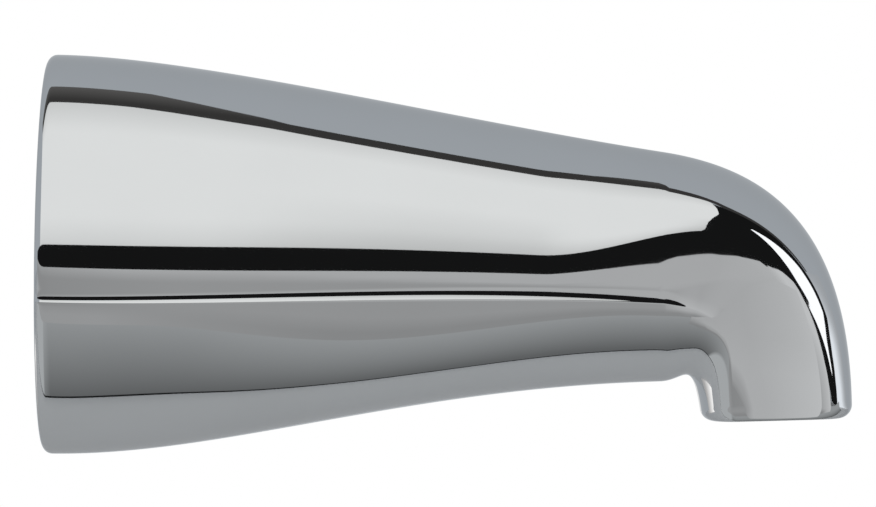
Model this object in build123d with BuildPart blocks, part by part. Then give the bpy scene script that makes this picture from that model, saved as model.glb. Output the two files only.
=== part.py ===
"""Bath spout: one hollow casting that screws onto a supply pipe and closes against the wall.

The origin is the centre of the wall end, on the wall's surface. +X runs out of the wall along the
supply pipe's axis to the nose, +Z is up, and the spout is the same on both sides of Y = 0.
"""

import os
from math import cos, radians, sin, tan

from build123d import *

# Wall end and overall length
base_diameter = 63.5
base_rim_radius = 1.6
reach = 128.5

# Knee: the station where the straight hood ends and the nose begins to turn down
nose_length = 30.5
knee_crown = 17.65
knee_keel = 18.9
knee_width = 38.6
hood_slope = 8.0
keel_slope = 2.3

# Outlet at the end of the nose
outlet_length = 24.05
outlet_width = 26.5
outlet_drop = 24.05
outlet_fall = 1.05
outlet_rim_radius = 2.1
outlet_side_share = 0.2
outlet_side_draft = 6.8
front_lean = 2.1
throat_lean = 10.1

# Pulls of the guide curves at their ends: how far each curve follows its end direction
hood_pull_base = 22.3
hood_pull_knee = 33.8
keel_pull_base = 26.9
keel_pull_knee = 40.8
nose_pull_knee = 18.5
nose_pull_outlet = 27.0
throat_pull_knee = 4.05
throat_pull_outlet = 8.45
side_slope_knee = 6.2
side_pull_knee = 12.7
side_pull_outlet = 16.9
side_draft_outlet = 8.05

# Section shape, as shares of its height and width; a span gives the stations that a change runs over
nose_start = 0.33
circle_handle = 0.5523
crown_pinch = -0.3
crown_pinch_span = (0.4, 1.19)
crown_fill = 0.72
crown_fill_span = (1.02, 1.98)
shoulder_fill = 0.23
shoulder_fill_span = (0.1, 2.14)
widest_base = 0.498
widest_rise = 0.185
widest_rise_span = (0.82, 1.1)

# Side and belly at the base, the knee and the outlet
side_turn_angles = (15.0, 7.9, 8.6)
belly_flat_shares = (0.494, 0.69, 0.72)
belly_side_shares = (0.474, 0.456, 0.6)
belly_swell = 0.178
belly_round = 0.11
belly_round_span = (0.0, 0.3)

# Crease between hood and belly: a small step that turns out in a hollow and back over a sharper edge
crease_height = 0.414
crease_fall = -0.014
crease_drop = -0.105
crease_drop_span = (0.9, 2.0)
crease_fade_span = (0.6, 1.3)
crease_step = 0.4
crease_lip = 2.0
crease_hollow = 0.7
crease_edge = 0.05

# Casting: walls, bulkhead and waterway
wall = 3.0
bulkhead_rear = 1.2
bulkhead_front = 1.42

# Boss with the female pipe thread, left at its tapping size, which ends in the knee's plane
boss_diameter = 28.0
boss_chamfer = 1.0
thread_bore = 18.4
thread_length = 20.0
thread_lead_in = 1.2
waterway_diameter = 17.0
waterway_past_knee = 9.5

base_radius = base_diameter / 2
knee_from_wall = reach - nose_length
boss_mouth = knee_from_wall - thread_length
waterway_end = knee_from_wall + waterway_past_knee
outlet_front = (reach, outlet_rim_radius - outlet_drop)
outlet_rear = (reach - outlet_length, outlet_rim_radius - outlet_drop - outlet_fall)


def ahead(point, direction, distance):
    """A side-view point moved along a direction, given as degrees of fall below +X."""
    return (point[0] + distance * cos(radians(direction)), point[1] - distance * sin(radians(direction)))


def blend(values, share):
    """Point or number at a share of a cubic Bezier span with four control values."""
    weights = (
        (1 - share) ** 3,
        3 * share * (1 - share) ** 2,
        3 * share**2 * (1 - share),
        share**3,
    )
    if isinstance(values[0], tuple):
        return tuple(sum(w * v[axis] for w, v in zip(weights, values)) for axis in (0, 1))
    return sum(w * v for w, v in zip(weights, values))


# Guide lines in the side view, each in two spans: base rim to knee, then knee to outlet rim
knee_top = (knee_from_wall, knee_crown)
knee_bottom = (knee_from_wall, -knee_keel)
crown_line = (
    (
        (base_rim_radius, base_radius),
        (base_rim_radius + hood_pull_base, base_radius),
        ahead(knee_top, hood_slope, -hood_pull_knee),
        knee_top,
    ),
    (
        knee_top,
        ahead(knee_top, hood_slope, nose_pull_knee),
        ahead(outlet_front, 90 - front_lean, -nose_pull_outlet),
        outlet_front,
    ),
)
keel_line = (
    (
        (base_rim_radius, -base_radius),
        (base_rim_radius + keel_pull_base, -base_radius),
        ahead(knee_bottom, -keel_slope, -keel_pull_knee),
        knee_bottom,
    ),
    (
        knee_bottom,
        ahead(knee_bottom, -keel_slope, throat_pull_knee),
        ahead(outlet_rear, 90 - throat_lean, -throat_pull_outlet),
        outlet_rear,
    ),
)

# Half widths along the same two spans
knee_half_width = knee_width / 2
outlet_half_width = outlet_width / 2
half_width_line = (
    (
        base_radius,
        base_radius,
        knee_half_width + hood_pull_knee * tan(radians(side_slope_knee)),
        knee_half_width,
    ),
    (
        knee_half_width,
        knee_half_width - side_pull_knee * tan(radians(side_slope_knee)),
        outlet_half_width + side_pull_outlet * tan(radians(side_draft_outlet)),
        outlet_half_width,
    ),
)


def along(lines, station):
    """Value of a two-span guide at a station: 0 at the base, 1 at the knee, 2 at the outlet."""
    span = 0 if station <= 1 else 1
    return blend(lines[span], station - span)


def through(values, station):
    """Value on the parabola through those at the base, the knee and the outlet."""
    base, knee, outlet = values
    return base + (knee - base) * station + (base - 2 * knee + outlet) / 2 * station * (station - 1)


def rise(span, station):
    """Share from 0 to 1 that rises smoothly over a span of stations."""
    share = min(max((station - span[0]) / (span[1] - span[0]), 0), 1)
    return share * share * (3 - 2 * share)


def swell(station):
    """Share from 0 at the base and the knee to 1 where the belly is fullest, three fifths of the way."""
    return station**3 * max(1 - station, 0) ** 2 / (0.6**3 * 0.4**2)


def advance(station):
    """Station for the section's laws, slower where the nose's sections start close together."""
    past = max(station - 1, 0)
    return min(station, 1) + past * (nose_start + (1 - nose_start) * past)


def crease_strength(station):
    """Share of the full crease, which fades out from the body's middle to the start of the nose."""
    return 1 - rise(crease_fade_span, advance(station))


def section_plane(station, inset=0.0):
    """Plane through the crown line and the keel line, with its origin on the section's lowest point."""
    crown = Vector(*along(crown_line, station))
    keel = Vector(*along(keel_line, station))
    up = (crown - keel).normalized()
    foot = keel + up * inset
    return Plane(origin=(foot.X, 0, foot.Y), x_dir=(0, 1, 0), z_dir=(up.Y, 0, -up.X))


def section_height(station, inset=0.0):
    """Distance from keel to crown in the section's plane."""
    crown = Vector(*along(crown_line, station))
    keel = Vector(*along(keel_line, station))
    return (crown - keel).length - 2 * inset


def half_section(station, inset, crease, side_inset):
    """Bezier control points of a half section in its plane: shoulder, side, crease lip and belly."""
    height = section_height(station, inset)
    width = along(half_width_line, station) - side_inset
    station = advance(station)
    widest = height * (widest_base + widest_rise * rise(widest_rise_span, station))
    fold = height * (crease_height + crease_fall * station + crease_drop * rise(crease_drop_span, station))
    turn = radians(through(side_turn_angles, station))
    crown_handle = circle_handle + crown_pinch * rise(crown_pinch_span, station)
    crown_handle += crown_fill * rise(crown_fill_span, station)
    shoulder_handle = circle_handle + shoulder_fill * rise(shoulder_fill_span, station)
    flat = through(belly_flat_shares, station) + belly_swell * swell(station)
    side = through(belly_side_shares, station) + belly_swell * swell(station)
    side += belly_round * (1 - rise(belly_round_span, station))

    crown = Vector(0, height)
    crown_end = Vector(crown_handle * width, height)
    shoulder = Vector(width, widest + shoulder_handle * (height - widest))
    beam = Vector(width, widest)
    crease_point = Vector(width - (widest - fold) * tan(turn / 2), fold)
    side_pull = (widest - fold) / 3
    down = Vector(-sin(turn), -cos(turn))
    out = Vector(cos(turn), -sin(turn))
    hollow_end = crease_point + down * crease_lip * crease_hollow
    lip_end = crease_point + down * crease_lip + out * crease_step * crease
    edge_start = lip_end - down * crease_lip * crease_edge
    belly = lip_end + down * (side * fold - crease_lip)
    keel_flat = Vector(flat * crease_point.X, 0)
    keel = Vector(0, 0)
    return (
        (crown, crown_end, shoulder, beam),
        (beam, beam - Vector(0, side_pull), crease_point - down * side_pull, crease_point),
        (crease_point, hollow_end, edge_start, lip_end),
        (lip_end, belly, keel_flat, keel),
    )


def section_face(station, inset=0.0, crease=0.0, shift=0.0, side_inset=None):
    """Whole section as a face, inset from the outer form and shifted along the flow."""
    plane = section_plane(station, inset).offset(shift)
    side_inset = inset if side_inset is None else side_inset
    right = [
        Edge.make_bezier(*[plane.from_local_coords(point) for point in points])
        for points in half_section(station, inset, crease, side_inset)
    ]
    left = [edge.mirror(Plane.XZ) for edge in right]
    return Face(Wire(right + left))


# Stations of the sections, evenly spaced over each span, with two more close beside each rim
body_steps = 7
nose_steps = 8
chamber_steps = 4
rim_steps = 3
body_stations = [i / body_steps for i in range(body_steps + 1)]
nose_stations = [1 + i / nose_steps for i in range(1, nose_steps + 1)]
base_rim_stations = [0.02, 0.06]
outlet_rim_stations = [1.92, 1.97]
outer_stations = sorted(body_stations + nose_stations + base_rim_stations + outlet_rim_stations)
chamber_length = 2 - bulkhead_front
chamber_stations = [bulkhead_front + chamber_length * i / chamber_steps for i in range(chamber_steps + 1)]
rim_angles = [radians(90 * i / rim_steps) for i in range(1, rim_steps + 1)]


def rim_faces(station, radius, crease, flow, side_share=1.0, side_draft=0.0):
    """Sections of a rounded rim, drawn in along a quarter circle; the sides by a share of it, on a draft."""
    faces = []
    for angle in rim_angles:
        inset = radius * (1 - cos(angle))
        shift = radius * sin(angle)
        side_inset = inset * side_share + shift * tan(radians(side_draft))
        faces.append(section_face(station, inset, crease, flow * shift, side_inset))
    return faces


# Rear core: the pocket behind the bulkhead, with the boss left standing in it
with BuildPart() as pocket_core:
    loft([section_face(station, wall) for station in body_stations + [bulkhead_rear]])
    extrude(section_face(0, wall), amount=2 * base_rim_radius, dir=-section_plane(0).z_dir)
    with BuildSketch(Plane.XZ):
        with BuildLine():
            Polyline(
                (boss_mouth, 0),
                (boss_mouth, boss_diameter / 2 - boss_chamfer),
                (boss_mouth + boss_chamfer, boss_diameter / 2),
                (reach, boss_diameter / 2),
                (reach, 0),
                close=True,
            )
        make_face()
    revolve(axis=Axis.X, mode=Mode.SUBTRACT)

# Front core: the chamber above the outlet, the pipe bore and the waterway between them
with BuildPart() as water_core:
    loft([section_face(station, wall) for station in chamber_stations])
    extrude(section_face(2, wall), amount=2 * outlet_rim_radius, dir=section_plane(2).z_dir)
    with BuildSketch(Plane.XZ):
        with BuildLine():
            Polyline(
                (waterway_end, waterway_diameter / 2),
                (knee_from_wall, waterway_diameter / 2),
                (knee_from_wall, thread_bore / 2),
                (boss_mouth + thread_lead_in, thread_bore / 2),
                (boss_mouth, thread_bore / 2 + thread_lead_in),
                (boss_mouth, 0),
                (waterway_end + waterway_diameter / 2, 0),
            )
            RadiusArc(
                (waterway_end + waterway_diameter / 2, 0),
                (waterway_end, waterway_diameter / 2),
                -waterway_diameter / 2,
            )
        make_face()
    revolve(axis=Axis.X)

with BuildPart() as spout_body:
    base_rim = rim_faces(0, base_rim_radius, crease_strength(0), -1)
    outlet_rim = rim_faces(2, outlet_rim_radius, crease_strength(2), 1, outlet_side_share, outlet_side_draft)
    outer_form = [section_face(s, crease=crease_strength(s)) for s in outer_stations]
    loft(base_rim[::-1] + outer_form + outlet_rim)
    add(pocket_core.part, mode=Mode.SUBTRACT)
    add(water_core.part, mode=Mode.SUBTRACT)

os.makedirs("parts", exist_ok=True)
spout_body.part.label = "spout_body"
export_step(spout_body.part, "parts/spout_body.step")
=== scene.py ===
"""Look of the bath spout: the chrome-plated casting as one dense skin, with its pipe thread.

The casting's own sizes are in millimetres and degrees, and those of the stage in metres and degrees.
"""

from math import cos, pi, radians, sin, tan

import bmesh
import bpy
import numpy as np
from mathutils import Matrix


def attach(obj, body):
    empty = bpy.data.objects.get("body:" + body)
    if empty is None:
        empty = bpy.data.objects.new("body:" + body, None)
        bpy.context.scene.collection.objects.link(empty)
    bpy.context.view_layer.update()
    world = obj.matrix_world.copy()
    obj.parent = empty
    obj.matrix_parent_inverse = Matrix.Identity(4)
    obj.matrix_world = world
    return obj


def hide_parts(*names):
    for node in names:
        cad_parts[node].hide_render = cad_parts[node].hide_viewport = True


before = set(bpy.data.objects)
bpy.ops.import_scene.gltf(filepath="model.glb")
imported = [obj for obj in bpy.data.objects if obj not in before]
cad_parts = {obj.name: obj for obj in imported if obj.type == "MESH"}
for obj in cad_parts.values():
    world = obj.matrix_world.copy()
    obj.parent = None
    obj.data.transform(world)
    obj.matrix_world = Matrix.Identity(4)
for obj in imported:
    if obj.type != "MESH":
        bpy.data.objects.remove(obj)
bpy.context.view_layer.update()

MM = 0.001

# Form of the casting in millimetres and degrees, the same values as the solid
BASE_RADIUS = 31.75
BASE_RIM_RADIUS = 1.6
REACH = 128.5
NOSE_LENGTH = 30.5
KNEE_CROWN = 17.65
KNEE_KEEL = 18.9
KNEE_HALF_WIDTH = 19.3
HOOD_SLOPE = 8.0
KEEL_SLOPE = 2.3
OUTLET_LENGTH = 24.05
OUTLET_HALF_WIDTH = 13.25
OUTLET_DROP = 24.05
OUTLET_FALL = 1.05
OUTLET_RIM_RADIUS = 2.1
OUTLET_SIDE_SHARE = 0.2
OUTLET_SIDE_DRAFT = 6.8
FRONT_LEAN = 2.1
THROAT_LEAN = 10.1
HOOD_PULL_BASE = 22.3
HOOD_PULL_KNEE = 33.8
KEEL_PULL_BASE = 26.9
KEEL_PULL_KNEE = 40.8
NOSE_PULL_KNEE = 18.5
NOSE_PULL_OUTLET = 27.0
THROAT_PULL_KNEE = 4.05
THROAT_PULL_OUTLET = 8.45
SIDE_SLOPE_KNEE = 6.2
SIDE_PULL_KNEE = 12.7
SIDE_PULL_OUTLET = 16.9
SIDE_DRAFT_OUTLET = 8.05
NOSE_START = 0.33
CIRCLE_HANDLE = 0.5523
CROWN_PINCH = -0.3
CROWN_PINCH_SPAN = (0.4, 1.19)
CROWN_FILL = 0.72
CROWN_FILL_SPAN = (1.02, 1.98)
SHOULDER_FILL = 0.23
SHOULDER_FILL_SPAN = (0.1, 2.14)
WIDEST_BASE = 0.498
WIDEST_RISE = 0.185
WIDEST_RISE_SPAN = (0.82, 1.1)
CREASE_HEIGHT = 0.414
CREASE_FALL = -0.014
CREASE_DROP = -0.105
CREASE_DROP_SPAN = (0.9, 2.0)
BELLY_FLAT = (0.494, 0.69, 0.72)
BELLY_SIDE = (0.474, 0.456, 0.6)
BELLY_SWELL = 0.178
BELLY_FULLEST = 0.6
BELLY_ROUND = 0.11
BELLY_ROUND_SPAN = (0.0, 0.3)
SIDE_TURN = (15.0, 7.9, 8.6)
CREASE_STEP = 0.4
CREASE_LIP = 2.0
CREASE_HOLLOW = 0.7
CREASE_EDGE = 0.05
CREASE_FADE_SPAN = (0.6, 1.3)
WALL = 3.0
BULKHEAD_REAR = 1.2
BULKHEAD_FRONT = 1.42
BOSS_RADIUS = 14.0
BOSS_CHAMFER = 1.0
THREAD_BORE_RADIUS = 9.2
THREAD_LENGTH = 20.0
THREAD_LEAD_IN = 1.2
WATERWAY_RADIUS = 8.5
WATERWAY_PAST_KNEE = 9.5

# Fine detail that the solid leaves out: pipe thread of 14 turns an inch, and broken inner edges
INCH = 25.4
THREAD_PITCH = INCH / 14
THREAD_DEPTH = 1.3
THREAD_FLAT = 0.125
EDGE_BREAK = 0.35

KNEE = REACH - NOSE_LENGTH
BOSS_MOUTH = KNEE - THREAD_LENGTH
WATERWAY_END = KNEE + WATERWAY_PAST_KNEE

# Slots of the surfaces on the skin, in the order of their materials
POLISHED, CAST, THREADED = range(3)

# Steps of the skin's grid around a section and along the casting
SHOULDER_STEPS = 40
SIDE_STEPS = 12
LIP_STEPS = 14
BELLY_STEPS = 32
BODY_RINGS = 100
NOSE_RINGS = 84
RIM_RINGS = 9
CHAMBER_RINGS = 22
WATERWAY_RINGS = 14
THREAD_RINGS_PER_TURN = 12
BOSS_RINGS = 10
BULKHEAD_RINGS = 5
POCKET_RINGS = 44
POCKET_GRID = 4 * POCKET_RINGS
EDGE_BREAK_RINGS = 4
BULKHEAD_FRONT_SHARES = (0.35, 0.7, 1.0)

# Powers that crowd the skin's points towards the crease and the waterway's mouth
SIDE_CROWDING = 1.8
BELLY_CROWDING = 1.25
WATERWAY_CROWDING = 1.5

# Points closer than this are one, and edges that turn by more than this angle stay sharp
WELD = 0.002
SHARP_ANGLE = 38

# Metal: tint of its grazing reflection, detail of its grain, and where the grain's colour starts and ends
GRAZING_TINT = (0.8, 0.8, 0.8, 1)
GRAIN_DETAIL = 4.0
GRAIN_SPAN = (0.3, 0.7)

# Stage: middle of the spout's length, middle of the nose, floor and backdrop
MIDDLE = 0.064
NOSE = 0.118
FLOOR = -0.36
FLOOR_CORNERS = ((-3, -3, FLOOR), (3, -3, FLOOR), (3, 1.6, FLOOR), (-3, 1.6, FLOOR))
FLOOR_COLOUR = (0.78, 0.78, 0.78, 1)
FLOOR_ROUGHNESS = 0.9
BACKDROP_CORNERS = ((-0.45, 3, -0.3), (0.55, 3, -0.3), (0.55, 3, 0.3), (-0.45, 3, 0.3))
WORLD_COLOUR = (0.57, 0.60, 0.63, 1)

# Distances of the cards from the spout's axis or, at the ends, from the nose
SOFT_RADIUS = 1.5
FRONT_RADIUS = 0.16
UNDER_RADIUS = 0.32
NOSE_CARD_DEPTH = 0.024
SIDE_GAP_RADIUS = 1.8
SIDE_LAMP_RADIUS = 1.0
SIDE_GLOW_RADIUS = 1.4
REAR_LAMP_RADIUS = 1.2

# Levels and tints of the cards
DARK = 0.012
LAMP = 1.8
NEUTRAL = (1.0, 1.0, 1.0)
WARM_WHITE = (1.0, 0.995, 0.97)
WARM_DARK = (1.0, 0.96, 0.92)
WARM_GREY = (1.0, 0.995, 0.985)
COOL_GREY = (0.98, 1.0, 1.0)
COOL_GLOW = (0.94, 0.97, 1.0)
WARM_GLOW = (1.0, 0.97, 0.94)

# Soft light over the front, with its upper edge and the tip of its right end, and the upper edge and
# right end of the dark gap above it
SOFT_LOW = 5.7
SOFT_EDGE = (
    (-1.1, 97), (0.04, 97), (0.08, 96), (0.12, 94.5),
    (0.16, 93), (0.2, 91.5), (0.24, 90.5), (0.36, 89),
)
SOFT_TIP = (
    (0.33, SOFT_LOW, 89.3), (0.345, 11, 89), (0.36, 22, 88.5), (0.38, 34, 87.5),
    (0.43, 47, 83), (0.475, 55, 78), (0.525, 63, 67),
)
GAP_EDGE = (113.5, 111.5, 108, 104, 100, 98.5, 97.5, 95)
GAP_END = ((0.65, 84, 92), (2.5, 84, 91))

# Dark card at the camera's height and grey card under it, with the edge that they share. The grey card is
# deep along the edge's first points, then runs out in a tip.
CAMERA_HIGH = 5.2
FRONT_LOW = -38
SHARED_START = -9.1
SHARED_EDGE = (
    (0.36, SHARED_START), (0.42, -7.6), (0.46, -6), (0.5, -5.8), (0.54, -6.8), (0.58, -8), (0.62, -8.8),
    (0.69, -8.8), (0.74, -6), (0.785, -4.5), (0.85, -2), (0.92, 0.5), (1.01, 3), (1.1, 4.2),
)
DEEP_POINTS = 11
CARD_END = -5
FRONT_PLACES = (CARD_END, -0.5, -0.45, -0.3, -0.2, -0.1, 0.05, 0.1, 0.2, 0.3)
FRONT_TIP = ((0.88, -13, -1), (0.92, -11, 0.5), (1.01, -7.5, 3), (1.1, -3.5, 4.2), (1.18, 2.6, 5))

# Grey card beside the nose
NOSE_OUTLINE = (
    (0.1055, -0.018, -0.0135), (0.1065, -0.0195, -0.0135), (0.1077, -0.022, -0.013),
    (0.109, -0.036, -0.0125), (0.11, -0.036, -0.012), (0.113, -0.036, -0.006),
    (0.118, -0.036, -0.0045), (0.1255, -0.036, -0.004),
)

# Grey card under the spout, with a thin dark gap along its lower edge
UNDER_HIGH = -20
UNDER_GAP = 1.3
LOW_EDGE = (
    (-2.5, -86.3), (-0.45, -86.3), (-0.28, -86.3), (-0.1, -86.3),
    (0.08, -86.9), (0.23, -88.7), (0.3, -90.2), (2.5, -90.2),
)

# Right end: dark gap with its outer edge, lamp before it, and glow beyond it from the edge's fourth point on
SIDE_GAP_START = 12
SIDE_EDGE = (
    (12, 86.5), (50, 86.5), (57, 86), (65, 86), (72, 85.5), (78, 83),
    (84, 69), (89, 61), (95, 57.5), (101, 59), (108, 60),
)
SIDE_LAMP_OUTLINE = (
    (44, 66.5, 68.5), (50, 64, 72), (57, 61, 75.5), (65, 57, 78), (72, 53.5, 77),
    (78, 50, 74), (84, 48, 61), (89, 42, 52), (93, 41.5, 48), (98, 43, 46),
)
GLOW_FIRST = 3
GLOW_END = 118
GLOW_LEAN_START = 89
GLOW_LEAN = 1.5

# Lamp low behind the left end
REAR_LAMP_OUTLINE = ((-128, 125, 131), (-122, 118, 140), (-110, 117, 142), (-103, 122, 136))

# Camera: place, turn of the picture in radians, lens and sensor in millimetres
CAMERA_PLACE = (0.06245, -1.0504, 0.00097)
CAMERA_ROLL = 0.0142
CAMERA_LENS = 271.2
CAMERA_SENSOR = 36.0
CAMERA_REACH = 20.0


def ahead(point, direction, distance):
    """A side-view point moved along a direction, given as degrees of fall below +X."""
    fall = radians(direction)
    return (point[0] + distance * cos(fall), point[1] - distance * sin(fall))


def bezier(points, shares):
    """Points at the given shares of a cubic Bezier span."""
    points = np.asarray(points, float)
    shares = np.asarray(shares, float)
    weights = np.stack([
        (1 - shares) ** 3,
        3 * shares * (1 - shares) ** 2,
        3 * shares**2 * (1 - shares),
        shares**3,
    ], axis=-1)
    return weights @ points


# Guide lines in the side view and half widths, each in two spans: base to knee, knee to outlet
knee_top = (KNEE, KNEE_CROWN)
knee_bottom = (KNEE, -KNEE_KEEL)
outlet_front = (REACH, OUTLET_RIM_RADIUS - OUTLET_DROP)
outlet_rear = (REACH - OUTLET_LENGTH, OUTLET_RIM_RADIUS - OUTLET_DROP - OUTLET_FALL)
crown_line = (
    (
        (BASE_RIM_RADIUS, BASE_RADIUS),
        (BASE_RIM_RADIUS + HOOD_PULL_BASE, BASE_RADIUS),
        ahead(knee_top, HOOD_SLOPE, -HOOD_PULL_KNEE),
        knee_top,
    ),
    (
        knee_top,
        ahead(knee_top, HOOD_SLOPE, NOSE_PULL_KNEE),
        ahead(outlet_front, 90 - FRONT_LEAN, -NOSE_PULL_OUTLET),
        outlet_front,
    ),
)
keel_line = (
    (
        (BASE_RIM_RADIUS, -BASE_RADIUS),
        (BASE_RIM_RADIUS + KEEL_PULL_BASE, -BASE_RADIUS),
        ahead(knee_bottom, -KEEL_SLOPE, -KEEL_PULL_KNEE),
        knee_bottom,
    ),
    (
        knee_bottom,
        ahead(knee_bottom, -KEEL_SLOPE, THROAT_PULL_KNEE),
        ahead(outlet_rear, 90 - THROAT_LEAN, -THROAT_PULL_OUTLET),
        outlet_rear,
    ),
)
half_width_line = (
    (
        BASE_RADIUS,
        BASE_RADIUS,
        KNEE_HALF_WIDTH + HOOD_PULL_KNEE * tan(radians(SIDE_SLOPE_KNEE)),
        KNEE_HALF_WIDTH,
    ),
    (
        KNEE_HALF_WIDTH,
        KNEE_HALF_WIDTH - SIDE_PULL_KNEE * tan(radians(SIDE_SLOPE_KNEE)),
        OUTLET_HALF_WIDTH + SIDE_PULL_OUTLET * tan(radians(SIDE_DRAFT_OUTLET)),
        OUTLET_HALF_WIDTH,
    ),
)


def along(lines, station):
    """Value of a two-span guide at a station: 0 at the base, 1 at the knee, 2 at the outlet."""
    span = 0 if station <= 1 else 1
    return bezier(lines[span], station - span)


def through(values, station):
    """Value on the parabola through those at the base, the knee and the outlet."""
    base, knee, outlet = values
    return base + (knee - base) * station + (base - 2 * knee + outlet) / 2 * station * (station - 1)


def rise(span, station):
    """Share from 0 to 1 that rises smoothly over a span of stations."""
    share = min(max((station - span[0]) / (span[1] - span[0]), 0), 1)
    return share * share * (3 - 2 * share)


def swell(station):
    """Share from 0 at the base and the knee to 1 where the belly is fullest."""
    return station**3 * max(1 - station, 0) ** 2 / (BELLY_FULLEST**3 * (1 - BELLY_FULLEST) ** 2)


def advance(station):
    """Station for the section's laws, which moves on slowly where the nose's sections start close."""
    past = max(station - 1, 0)
    return min(station, 1) + past * (NOSE_START + (1 - NOSE_START) * past)


def crease_strength(station):
    """Share of the full crease, which fades out from the body's middle to the start of the nose."""
    return 1 - rise(CREASE_FADE_SPAN, advance(station))


def section_frame(station):
    """Keel point, up direction and height of a section in the side view."""
    crown = along(crown_line, station)
    keel = along(keel_line, station)
    height = np.linalg.norm(crown - keel)
    return keel, (crown - keel) / height, height


def half_section(station, inset, crease, side_inset):
    """Bezier control points of a half section in its plane: shoulder, side, crease lip and belly."""
    height = section_frame(station)[2] - 2 * inset
    width = along(half_width_line, station) - side_inset
    station = advance(station)
    widest = height * (WIDEST_BASE + WIDEST_RISE * rise(WIDEST_RISE_SPAN, station))
    drop = CREASE_DROP * rise(CREASE_DROP_SPAN, station)
    fold = height * (CREASE_HEIGHT + CREASE_FALL * station + drop)
    turn = radians(through(SIDE_TURN, station))
    crown_handle = CIRCLE_HANDLE + CROWN_PINCH * rise(CROWN_PINCH_SPAN, station)
    crown_handle += CROWN_FILL * rise(CROWN_FILL_SPAN, station)
    shoulder_handle = CIRCLE_HANDLE + SHOULDER_FILL * rise(SHOULDER_FILL_SPAN, station)
    flat = through(BELLY_FLAT, station) + BELLY_SWELL * swell(station)
    side = through(BELLY_SIDE, station) + BELLY_SWELL * swell(station)
    side += BELLY_ROUND * (1 - rise(BELLY_ROUND_SPAN, station))

    crown = np.array((0, height))
    crown_end = np.array((crown_handle * width, height))
    shoulder = np.array((width, widest + shoulder_handle * (height - widest)))
    beam = np.array((width, widest))
    crease_point = np.array((width - (widest - fold) * tan(turn / 2), fold))
    side_pull = (widest - fold) / 3
    down = np.array((-sin(turn), -cos(turn)))
    out = np.array((cos(turn), -sin(turn)))
    hollow_end = crease_point + down * CREASE_LIP * CREASE_HOLLOW
    lip_end = crease_point + down * CREASE_LIP + out * CREASE_STEP * crease
    edge_start = lip_end - down * CREASE_LIP * CREASE_EDGE
    belly = lip_end + down * (side * fold - CREASE_LIP)
    keel_flat = np.array((flat * crease_point[0], 0))
    keel = np.zeros(2)
    return (
        (crown, crown_end, shoulder, beam),
        (beam, beam - (0, side_pull), crease_point - down * side_pull, crease_point),
        (crease_point, hollow_end, edge_start, lip_end),
        (lip_end, belly, keel_flat, keel),
    )


# Shares of each Bezier span where the skin has points, closer together towards the crease
EDGE_SHARES = (
    np.arange(SHOULDER_STEPS) / SHOULDER_STEPS,
    1 - (1 - np.arange(SIDE_STEPS) / SIDE_STEPS) ** SIDE_CROWDING,
    np.arange(LIP_STEPS) / LIP_STEPS,
    (np.arange(BELLY_STEPS) / BELLY_STEPS) ** BELLY_CROWDING,
)
RING_POINTS = 2 * sum(len(shares) for shares in EDGE_SHARES)
EVEN_ANGLES = 2 * pi * np.arange(RING_POINTS) / RING_POINTS


def section_ring(station, inset=0.0, crease=0.0, shift=0.0, side_inset=None):
    """Closed ring of points on a section: crown, +Y side, keel, -Y side."""
    spans = half_section(station, inset, crease, inset if side_inset is None else side_inset)
    lines = [bezier(span, shares) for span, shares in zip(spans, EDGE_SHARES)]
    half = np.vstack(lines + [spans[-1][-1]])
    across = np.concatenate([half[:, 0], -half[-2:0:-1, 0]])
    height = np.concatenate([half[:, 1], half[-2:0:-1, 1]]) + inset
    keel, up, _ = section_frame(station)
    return np.column_stack([
        keel[0] + up[0] * height + up[1] * shift,
        across,
        keel[1] + up[1] * height - up[0] * shift,
    ])


def round_ring(x, radius, angles=EVEN_ANGLES):
    """Ring around the pipe's axis, with angles from +Z over +Y; x and radius may differ around it."""
    return np.column_stack([
        np.broadcast_to(x, angles.shape),
        radius * np.sin(angles),
        radius * np.cos(angles),
    ])


def ring_angles(ring):
    """Angle of each point around the pipe's axis, rising from 0 at the crown."""
    return np.arctan2(ring[:, 1], ring[:, 2]) % (2 * pi)


def on_section_plane(station, height):
    """X of the points of a section's plane at the given Z values."""
    keel, up, _ = section_frame(station)
    return keel[0] + up[0] / up[1] * (height - keel[1])


def shell_rings():
    """Outer skin: flat wall ring, base rim, body, nose and outlet rim."""
    rings = []
    for angle in np.linspace(pi / 2, 0, RIM_RINGS, endpoint=False):
        inset = BASE_RIM_RADIUS * (1 - cos(angle))
        rings.append(section_ring(0, inset, crease_strength(0), -BASE_RIM_RADIUS * sin(angle)))
    body = np.linspace(0, 1, BODY_RINGS, endpoint=False)
    nose = np.linspace(1, 2, NOSE_RINGS, endpoint=False)
    for station in np.concatenate([body, nose]):
        rings.append(section_ring(station, crease=crease_strength(station)))
    for angle in np.linspace(0, pi / 2, RIM_RINGS):
        inset = OUTLET_RIM_RADIUS * (1 - cos(angle))
        shift = OUTLET_RIM_RADIUS * sin(angle)
        side_inset = inset * OUTLET_SIDE_SHARE + shift * tan(radians(OUTLET_SIDE_DRAFT))
        rings.append(section_ring(2, inset, crease_strength(2), shift, side_inset))
    return rings


def chamber_rings():
    """Outlet chamber: broken edge, walls up to the bulkhead, and its front around the waterway."""
    rings = []
    for angle in np.linspace(0, pi / 2, EDGE_BREAK_RINGS):
        inset = WALL - EDGE_BREAK * (1 - sin(angle))
        rings.append(section_ring(2, inset, shift=OUTLET_RIM_RADIUS - EDGE_BREAK * (1 - cos(angle))))
    for station in np.linspace(2, BULKHEAD_FRONT, CHAMBER_RINGS):
        rings.append(section_ring(station, WALL))
    edge = rings[-1]
    mouth = waterway_mouth(edge)
    for share in BULKHEAD_FRONT_SHARES:
        rings.append(edge + (mouth - edge) * share)
    return rings


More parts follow.
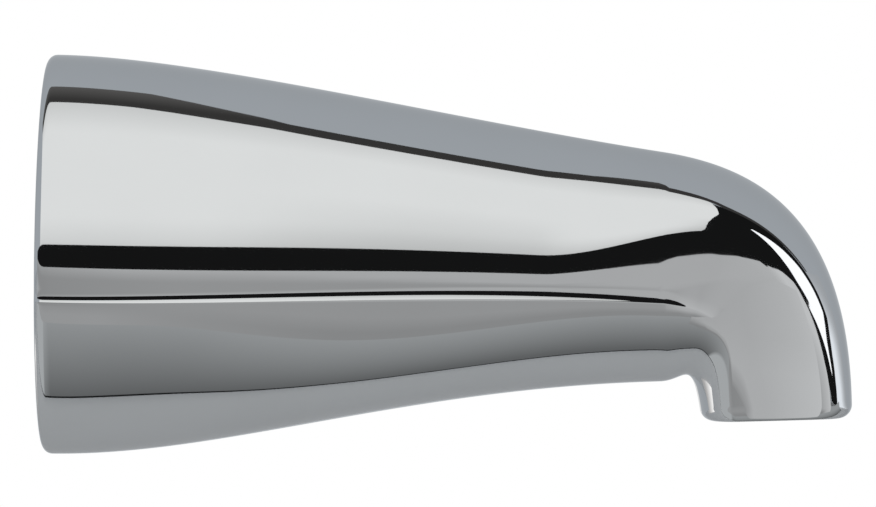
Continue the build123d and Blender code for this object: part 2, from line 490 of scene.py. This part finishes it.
def waterway_mouth(edge):
    """Ring where the waterway's ball end comes through the bulkhead's front."""
    keel, up, _ = section_frame(BULKHEAD_FRONT)
    ball = np.array((WATERWAY_END, 0.0))
    behind = (ball[0] - keel[0]) * up[1] - (ball[1] - keel[1]) * up[0]
    centre = ball - behind * np.array((up[1], -up[0]))
    radius = (WATERWAY_RADIUS**2 - behind**2) ** 0.5
    edge_lift = (edge[:, 0] - centre[0]) * up[0] + (edge[:, 2] - centre[1]) * up[1]
    angles = np.arctan2(edge[:, 1], edge_lift)
    lift = radius * np.cos(angles)
    return np.column_stack([
        centre[0] + up[0] * lift,
        radius * np.sin(angles),
        centre[1] + up[1] * lift,
    ])


def waterway_rings(mouth):
    """Waterway from its mouth in the chamber back to the step at the thread's end."""
    angles = ring_angles(mouth)
    rings = []
    for share in (np.arange(1, WATERWAY_RINGS + 1) / WATERWAY_RINGS) ** WATERWAY_CROWDING:
        x = mouth[:, 0] + (KNEE - mouth[:, 0]) * share
        past = np.maximum(x - WATERWAY_END, 0)
        radius = np.sqrt(WATERWAY_RADIUS**2 - past**2)
        rings.append(round_ring(x, radius, angles + (EVEN_ANGLES - angles) * share))
    return rings


def thread_rings():
    """Pipe thread from the step to the lead-in at the boss's mouth."""
    rings = []
    spacing = THREAD_PITCH / THREAD_RINGS_PER_TURN
    count = round(THREAD_LENGTH / spacing)
    for x in np.linspace(KNEE, BOSS_MOUTH, count + 1):
        phase = (x / THREAD_PITCH - EVEN_ANGLES / (2 * pi)) % 1
        flank = (1 + 2 * THREAD_FLAT) * (1 - np.abs(2 * phase - 1))
        groove = np.clip(flank - THREAD_FLAT, 0, 1)
        groove = groove * np.clip((KNEE - x) / THREAD_PITCH, 0, 1)
        lead_in = THREAD_BORE_RADIUS + max(BOSS_MOUTH + THREAD_LEAD_IN - x, 0)
        radius = np.maximum(THREAD_BORE_RADIUS + THREAD_DEPTH * groove, lead_in)
        rings.append(round_ring(x, radius))
    return rings


def pocket_wall():
    """Inner wall of the base pocket on a fine grid of stations, up to the bulkhead."""
    stations = np.linspace(0, BULKHEAD_REAR, POCKET_GRID)
    return stations, np.array([section_ring(station, WALL) for station in stations])


def boss_and_pocket_rings():
    """Boss from its mouth to its root, the bulkhead's rear, and the pocket's wall back to the base."""
    stations, wall = pocket_wall()
    from_axis = np.hypot(wall[:, :, 1], wall[:, :, 2])
    ends = np.full(RING_POINTS, BULKHEAD_REAR)
    for point in range(RING_POINTS):
        inside = np.flatnonzero(from_axis[:, point] < BOSS_RADIUS)
        if len(inside):
            pair = [inside[0], inside[0] - 1]
            ends[point] = np.interp(BOSS_RADIUS, from_axis[pair, point], stations[pair])

    def wall_ring(share):
        """Ring on the pocket's wall at a share of the way from the base to where the wall ends."""
        ring = np.empty((RING_POINTS, 3))
        for point in range(RING_POINTS):
            for axis in range(3):
                ring[point, axis] = np.interp(ends[point] * share, stations, wall[:, point, axis])
        return ring

    edge = wall_ring(1.0)
    angles = ring_angles(edge)
    root = round_ring(0.0, BOSS_RADIUS, angles)
    root[:, 0] = on_section_plane(BULKHEAD_REAR, root[:, 2])
    meets_wall = ends < BULKHEAD_REAR
    root[meets_wall] = edge[meets_wall]

    rings = [
        round_ring(BOSS_MOUTH, THREAD_BORE_RADIUS + THREAD_LEAD_IN + EDGE_BREAK),
        round_ring(BOSS_MOUTH, BOSS_RADIUS - BOSS_CHAMFER),
        round_ring(BOSS_MOUTH + BOSS_CHAMFER, BOSS_RADIUS),
    ]
    for share in np.arange(1, BOSS_RINGS + 1) / BOSS_RINGS:
        x = BOSS_MOUTH + BOSS_CHAMFER + (root[:, 0] - BOSS_MOUTH - BOSS_CHAMFER) * share
        rings.append(round_ring(x, BOSS_RADIUS, EVEN_ANGLES + (angles - EVEN_ANGLES) * share))
    rings[-1] = root
    for share in np.arange(1, BULKHEAD_RINGS + 1) / BULKHEAD_RINGS:
        rings.append(root + (edge - root) * share)
    for share in np.linspace(1, 0, POCKET_RINGS)[1:]:
        rings.append(wall_ring(share))
    for angle in np.linspace(pi / 2, 0, EDGE_BREAK_RINGS):
        inset = WALL - EDGE_BREAK * (1 - sin(angle))
        rings.append(section_ring(0, inset, shift=-BASE_RIM_RADIUS + EDGE_BREAK * (1 - cos(angle))))
    return rings


def casting_mesh():
    """One closed skin, with the wall ring polished as the outside is."""
    shell = shell_rings()
    chamber = chamber_rings()
    waterway = waterway_rings(chamber[-1])
    thread = thread_rings()
    inside = boss_and_pocket_rings()
    rings = shell + chamber + waterway + thread + inside
    finishes = [POLISHED] * len(shell) + [CAST] * (len(chamber) + len(waterway))
    finishes += [THREADED] * len(thread) + [CAST] * len(inside)
    finishes[-1] = POLISHED

    mesh = bpy.data.meshes.new("spout_casting")
    points = np.vstack(rings) * MM
    index = np.arange(len(points)).reshape(len(rings), RING_POINTS)
    onward = np.roll(index, -1, axis=0)
    corners = (index, np.roll(index, -1, axis=1), np.roll(onward, -1, axis=1), onward)
    quads = np.stack(corners, axis=-1)
    mesh.from_pydata(points.tolist(), [], quads.reshape(-1, 4).tolist())
    slots = np.repeat(finishes, RING_POINTS).astype(np.int32)
    mesh.polygons.foreach_set("material_index", slots)

    form = bmesh.new()
    form.from_mesh(mesh)
    bmesh.ops.remove_doubles(form, verts=form.verts, dist=WELD * MM)
    bmesh.ops.dissolve_degenerate(form, edges=form.edges, dist=WELD * MM)
    if form.calc_volume(signed=True) < 0:
        bmesh.ops.reverse_faces(form, faces=form.faces)
    for face in form.faces:
        face.smooth = True
    form.to_mesh(mesh)
    form.free()
    mesh.set_sharp_from_angle(angle=radians(SHARP_ANGLE))
    return mesh


def metal(name, colour, roughness, spread, grain_size, grain_height, tint, metallic=1.0):
    """Metal whose grain, sized in millimetres, varies its colour and gloss and lifts its surface."""
    material = bpy.data.materials.new(name)
    material.use_nodes = True
    nodes = material.node_tree.nodes
    links = material.node_tree.links
    shader = nodes["Principled BSDF"]
    shader.inputs["Metallic"].default_value = metallic
    shader.inputs["Specular Tint"].default_value = GRAZING_TINT

    place = nodes.new("ShaderNodeTexCoord")
    grain = nodes.new("ShaderNodeTexNoise")
    grain.inputs["Scale"].default_value = 1 / (grain_size * MM)
    grain.inputs["Detail"].default_value = GRAIN_DETAIL
    links.new(place.outputs["Object"], grain.inputs["Vector"])

    gloss = nodes.new("ShaderNodeMapRange")
    gloss.inputs["To Min"].default_value = roughness - spread
    gloss.inputs["To Max"].default_value = roughness + spread
    links.new(grain.outputs["Fac"], gloss.inputs["Value"])
    links.new(gloss.outputs["Result"], shader.inputs["Roughness"])

    shade = nodes.new("ShaderNodeValToRGB")
    dark, light = shade.color_ramp.elements
    dark.position, light.position = GRAIN_SPAN
    dark.color = (*[c * (1 - tint) for c in colour], 1)
    light.color = (*colour, 1)
    links.new(grain.outputs["Fac"], shade.inputs["Fac"])
    links.new(shade.outputs["Color"], shader.inputs["Base Color"])

    bump = nodes.new("ShaderNodeBump")
    bump.inputs["Strength"].default_value = 1.0
    bump.inputs["Distance"].default_value = grain_height * MM
    links.new(grain.outputs["Fac"], bump.inputs["Height"])
    links.new(bump.outputs["Normal"], shader.inputs["Normal"])
    return material


def make_spout():
    """The casting, in place of the plain solid."""
    mesh = casting_mesh()
    mesh.materials.append(metal(
        "polished_chrome", (0.55, 0.565, 0.58), roughness=0.03, spread=0.012,
        grain_size=18.0, grain_height=0.004, tint=0.02,
    ))
    mesh.materials.append(metal(
        "cast_plating", (0.56, 0.56, 0.55), roughness=0.5, spread=0.10,
        grain_size=0.7, grain_height=0.03, tint=0.25, metallic=0.7,
    ))
    mesh.materials.append(metal(
        "cut_thread", (0.50, 0.50, 0.49), roughness=0.24, spread=0.06,
        grain_size=0.4, grain_height=0.008, tint=0.15,
    ))
    spout = bpy.data.objects.new("spout_casting", mesh)
    bpy.context.collection.objects.link(spout)
    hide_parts("spout_body")
    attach(spout, "root")


def glow(name, colour):
    """Glow of one colour, with its strength from the card's own level."""
    material = bpy.data.materials.new(name)
    material.use_nodes = True
    nodes = material.node_tree.nodes
    nodes.clear()
    level = nodes.new("ShaderNodeAttribute")
    level.attribute_name = "level"
    light = nodes.new("ShaderNodeEmission")
    light.inputs["Color"].default_value = (*colour, 1)
    output = nodes.new("ShaderNodeOutputMaterial")
    material.node_tree.links.new(level.outputs["Fac"], light.inputs["Strength"])
    material.node_tree.links.new(light.outputs["Emission"], output.inputs["Surface"])
    return material


def card(name, columns, place_point, level, colour, steps):
    """Card from columns of (place, low, high), with a level at each point, unseen by the camera."""
    points, levels, faces = [], [], []
    for column, (place, low, high) in enumerate(columns):
        for step in range(steps + 1):
            angle = low + (high - low) * step / steps
            points.append(place_point(place, angle))
            levels.append(level(place, angle) if callable(level) else level)
            if column and step:
                corner = len(points) - 1
                faces.append((corner - steps - 2, corner - steps - 1, corner, corner - 1))
    mesh = bpy.data.meshes.new(name)
    mesh.from_pydata(points, [], faces)
    mesh.attributes.new("level", "FLOAT", "POINT").data.foreach_set("value", levels)
    mesh.materials.append(glow(name, colour))
    made = bpy.data.objects.new(name, mesh)
    bpy.context.collection.objects.link(made)
    made.visible_camera = False
    made.visible_shadow = False


def band(name, radius, columns, level, colour=NEUTRAL, steps=24):
    """Card bent around the spout's length: places along it in radii, angles up from the camera."""
    def point(place, angle):
        turn = radians(angle)
        return (MIDDLE + place * radius, -radius * cos(turn), radius * sin(turn))

    card(name, columns, point, level, colour, steps)


def sheet(name, depth, columns, level, colour=NEUTRAL, steps=12):
    """Flat card on the camera's side of the spout: places along its length, heights above its axis."""
    def point(place, height):
        return (place, -depth, height)

    card(name, columns, point, level, colour, steps)


def patch(name, radius, columns, level, colour=NEUTRAL, steps=12):
    """Card on a ball around the nose: spins from overhead to the right, angles out from the camera."""
    def point(place, angle):
        spin, turn = radians(place), radians(angle)
        return (
            NOSE + radius * sin(turn) * sin(spin),
            -radius * cos(turn),
            radius * sin(turn) * cos(spin),
        )

    card(name, columns, point, level, colour, steps)


def ramp(value, start, end):
    """Share from 0 to 1 of the way from start to end."""
    return min(max((value - start) / (end - start), 0), 1)


def soft_level(place, angle):
    """Soft light: even, and weaker towards its lower, upper and lower right edges."""
    low = 1.06 + 0.21 * ramp(angle, 6, 22) ** 0.7
    top = 1.27 - 0.24 * ramp(angle, 76, 96)
    return min(low, top) * (1 - 0.25 * ramp(place, 0.22, 0.37) * ramp(angle, 45, 12))


def gap_level(_, angle):
    """Dark gap behind the soft light, a little lighter at its far edge."""
    return 0.06 + 0.1 * ramp(angle, 100, 112)


def front_level(place, angle):
    """Grey card under the camera: lighter close under it and towards the nose."""
    nose_gain = 0.1 * ramp(place, 0.58, 0.7) + 0.14 * ramp(place, 0.7, 0.88)
    near = 0.56 + 0.12 * ramp(place, -0.45, -0.2)
    low = 0.45 + 0.06 * ramp(place, -0.5, -0.1) + 0.16 * ramp(place, 0.48, 0.6)
    level = low + (near - low) * ramp(angle, -17, -9.5 - 6 * ramp(place, 0.05, 0.3))
    deep = 0.54 - 0.11 * ramp(place, -0.3, 0.1) + 0.2 * ramp(place, 0.58, 0.68)
    return level + (deep - level) * ramp(angle, -26, -33) + nose_gain


def nose_level(place, height):
    """Grey card beside the nose: lighter towards the front, darker at the throat."""
    throat = ramp(place - 0.0035 * ramp(height, -0.014, -0.02), 0.1065, 0.104)
    level = 0.67 + 0.18 * ramp(place, 0.113, 0.1265) + 0.05 * ramp(height, -0.015, -0.021)
    dim = 0.5 - 0.13 * ramp(height, -0.0135, -0.02) + 0.1 * ramp(height, -0.026, -0.032)
    return level + (dim - level) * throat


def under_level(place, angle):
    """Grey under the spout, darker towards straight down and lighter to the left."""
    level = 0.51 - 0.31 * ramp(angle, -38, -87)
    return level + (0.66 - level) * ramp(place, -0.28, -0.45)


def glow_lean(spin):
    """Degrees by which the glow's far edge moves back, low on the nose's front."""
    return GLOW_LEAN * max(spin - GLOW_LEAN_START, 0)


def glow_level(spin, angle):
    """Light on the nose's front, which fades out to the back."""
    fade = 1 - ramp(angle - glow_lean(spin), 76, GLOW_END)
    return 0.62 + 0.78 * ramp(spin, 64, 84) * fade**1.6


def rear_level(_, angle):
    """Lamp behind the left end, weaker towards the back."""
    return 1.7 - 1.0 * ramp(angle, 120, 138)


def make_cards():
    """Soft light over the front, lamps at both ends, and grey and dark cards around them."""
    soft = [(place, SOFT_LOW, high) for place, high in SOFT_EDGE[:-1]] + list(SOFT_TIP)
    gap = [(place, low, high) for (place, low), high in zip(SOFT_EDGE, GAP_EDGE)] + list(GAP_END)
    band("soft_light", SOFT_RADIUS, soft, soft_level, WARM_WHITE)
    band("overhead_gap", SOFT_RADIUS, gap, gap_level, WARM_DARK, steps=8)

    camera = [(CARD_END, SHARED_START, CAMERA_HIGH)]
    camera += [(place, low, CAMERA_HIGH) for place, low in SHARED_EDGE]
    front = [(place, FRONT_LOW, SHARED_START) for place in FRONT_PLACES]
    front += [(place, FRONT_LOW, high) for place, high in SHARED_EDGE[:DEEP_POINTS]]
    front += FRONT_TIP
    band("camera_card", FRONT_RADIUS, camera, DARK)
    band("front_card", FRONT_RADIUS, front, front_level, WARM_GREY)
    sheet("nose_card", NOSE_CARD_DEPTH, NOSE_OUTLINE, nose_level, WARM_GREY)

    under = [(place, low, UNDER_HIGH) for place, low in LOW_EDGE]
    under_gap = [(place, low - UNDER_GAP, low) for place, low in LOW_EDGE]
    band("under_card", UNDER_RADIUS, under, under_level, COOL_GREY)
    band("under_gap", UNDER_RADIUS, under_gap, DARK, steps=2)

    side_gap = [(spin, SIDE_GAP_START, high) for spin, high in SIDE_EDGE]
    side_glow = [(spin, high, GLOW_END + glow_lean(spin)) for spin, high in SIDE_EDGE[GLOW_FIRST:]]
    patch("side_gap", SIDE_GAP_RADIUS, side_gap, DARK)
    patch("side_lamp", SIDE_LAMP_RADIUS, SIDE_LAMP_OUTLINE, LAMP)
    patch("side_glow", SIDE_GLOW_RADIUS, side_glow, glow_level, COOL_GLOW)
    patch("rear_lamp", REAR_LAMP_RADIUS, REAR_LAMP_OUTLINE, rear_level, WARM_GLOW)


def plane(name, corners):
    """One flat face of the stage."""
    mesh = bpy.data.meshes.new(name)
    mesh.from_pydata(corners, [], [(0, 1, 2, 3)])
    made = bpy.data.objects.new(name, mesh)
    bpy.context.collection.objects.link(made)
    return made


def make_stage():
    """Cards, pale floor, white backdrop and an even world."""
    make_cards()

    floor = plane("floor", FLOOR_CORNERS)
    pale = bpy.data.materials.new("pale_floor")
    pale.use_nodes = True
    shader = pale.node_tree.nodes["Principled BSDF"]
    shader.inputs["Base Color"].default_value = FLOOR_COLOUR
    shader.inputs["Roughness"].default_value = FLOOR_ROUGHNESS
    floor.data.materials.append(pale)

    backdrop = plane("backdrop", BACKDROP_CORNERS)
    level = backdrop.data.attributes.new("level", "FLOAT", "POINT")
    level.data.foreach_set("value", [1.0] * len(BACKDROP_CORNERS))
    backdrop.data.materials.append(glow("white_backdrop", NEUTRAL))

    world = bpy.data.worlds.new("studio")
    world.use_nodes = True
    background = world.node_tree.nodes["Background"]
    background.inputs["Color"].default_value = WORLD_COLOUR
    background.inputs["Strength"].default_value = 1.0
    bpy.context.scene.world = world


def make_camera():
    """Level side view from about a metre, turned a little so that the spout dips to the right."""
    data = bpy.data.cameras.new("camera")
    data.sensor_width = CAMERA_SENSOR
    data.lens = CAMERA_LENS
    data.clip_end = CAMERA_REACH
    camera = bpy.data.objects.new("camera", data)
    place = Matrix.Translation(CAMERA_PLACE)
    level = Matrix.Rotation(radians(90), 4, "X")
    camera.matrix_world = place @ level @ Matrix.Rotation(CAMERA_ROLL, 4, "Z")
    bpy.context.collection.objects.link(camera)
    bpy.context.scene.camera = camera


make_spout()
make_stage()
make_camera()
bpy.context.scene.view_settings.view_transform = "Standard"
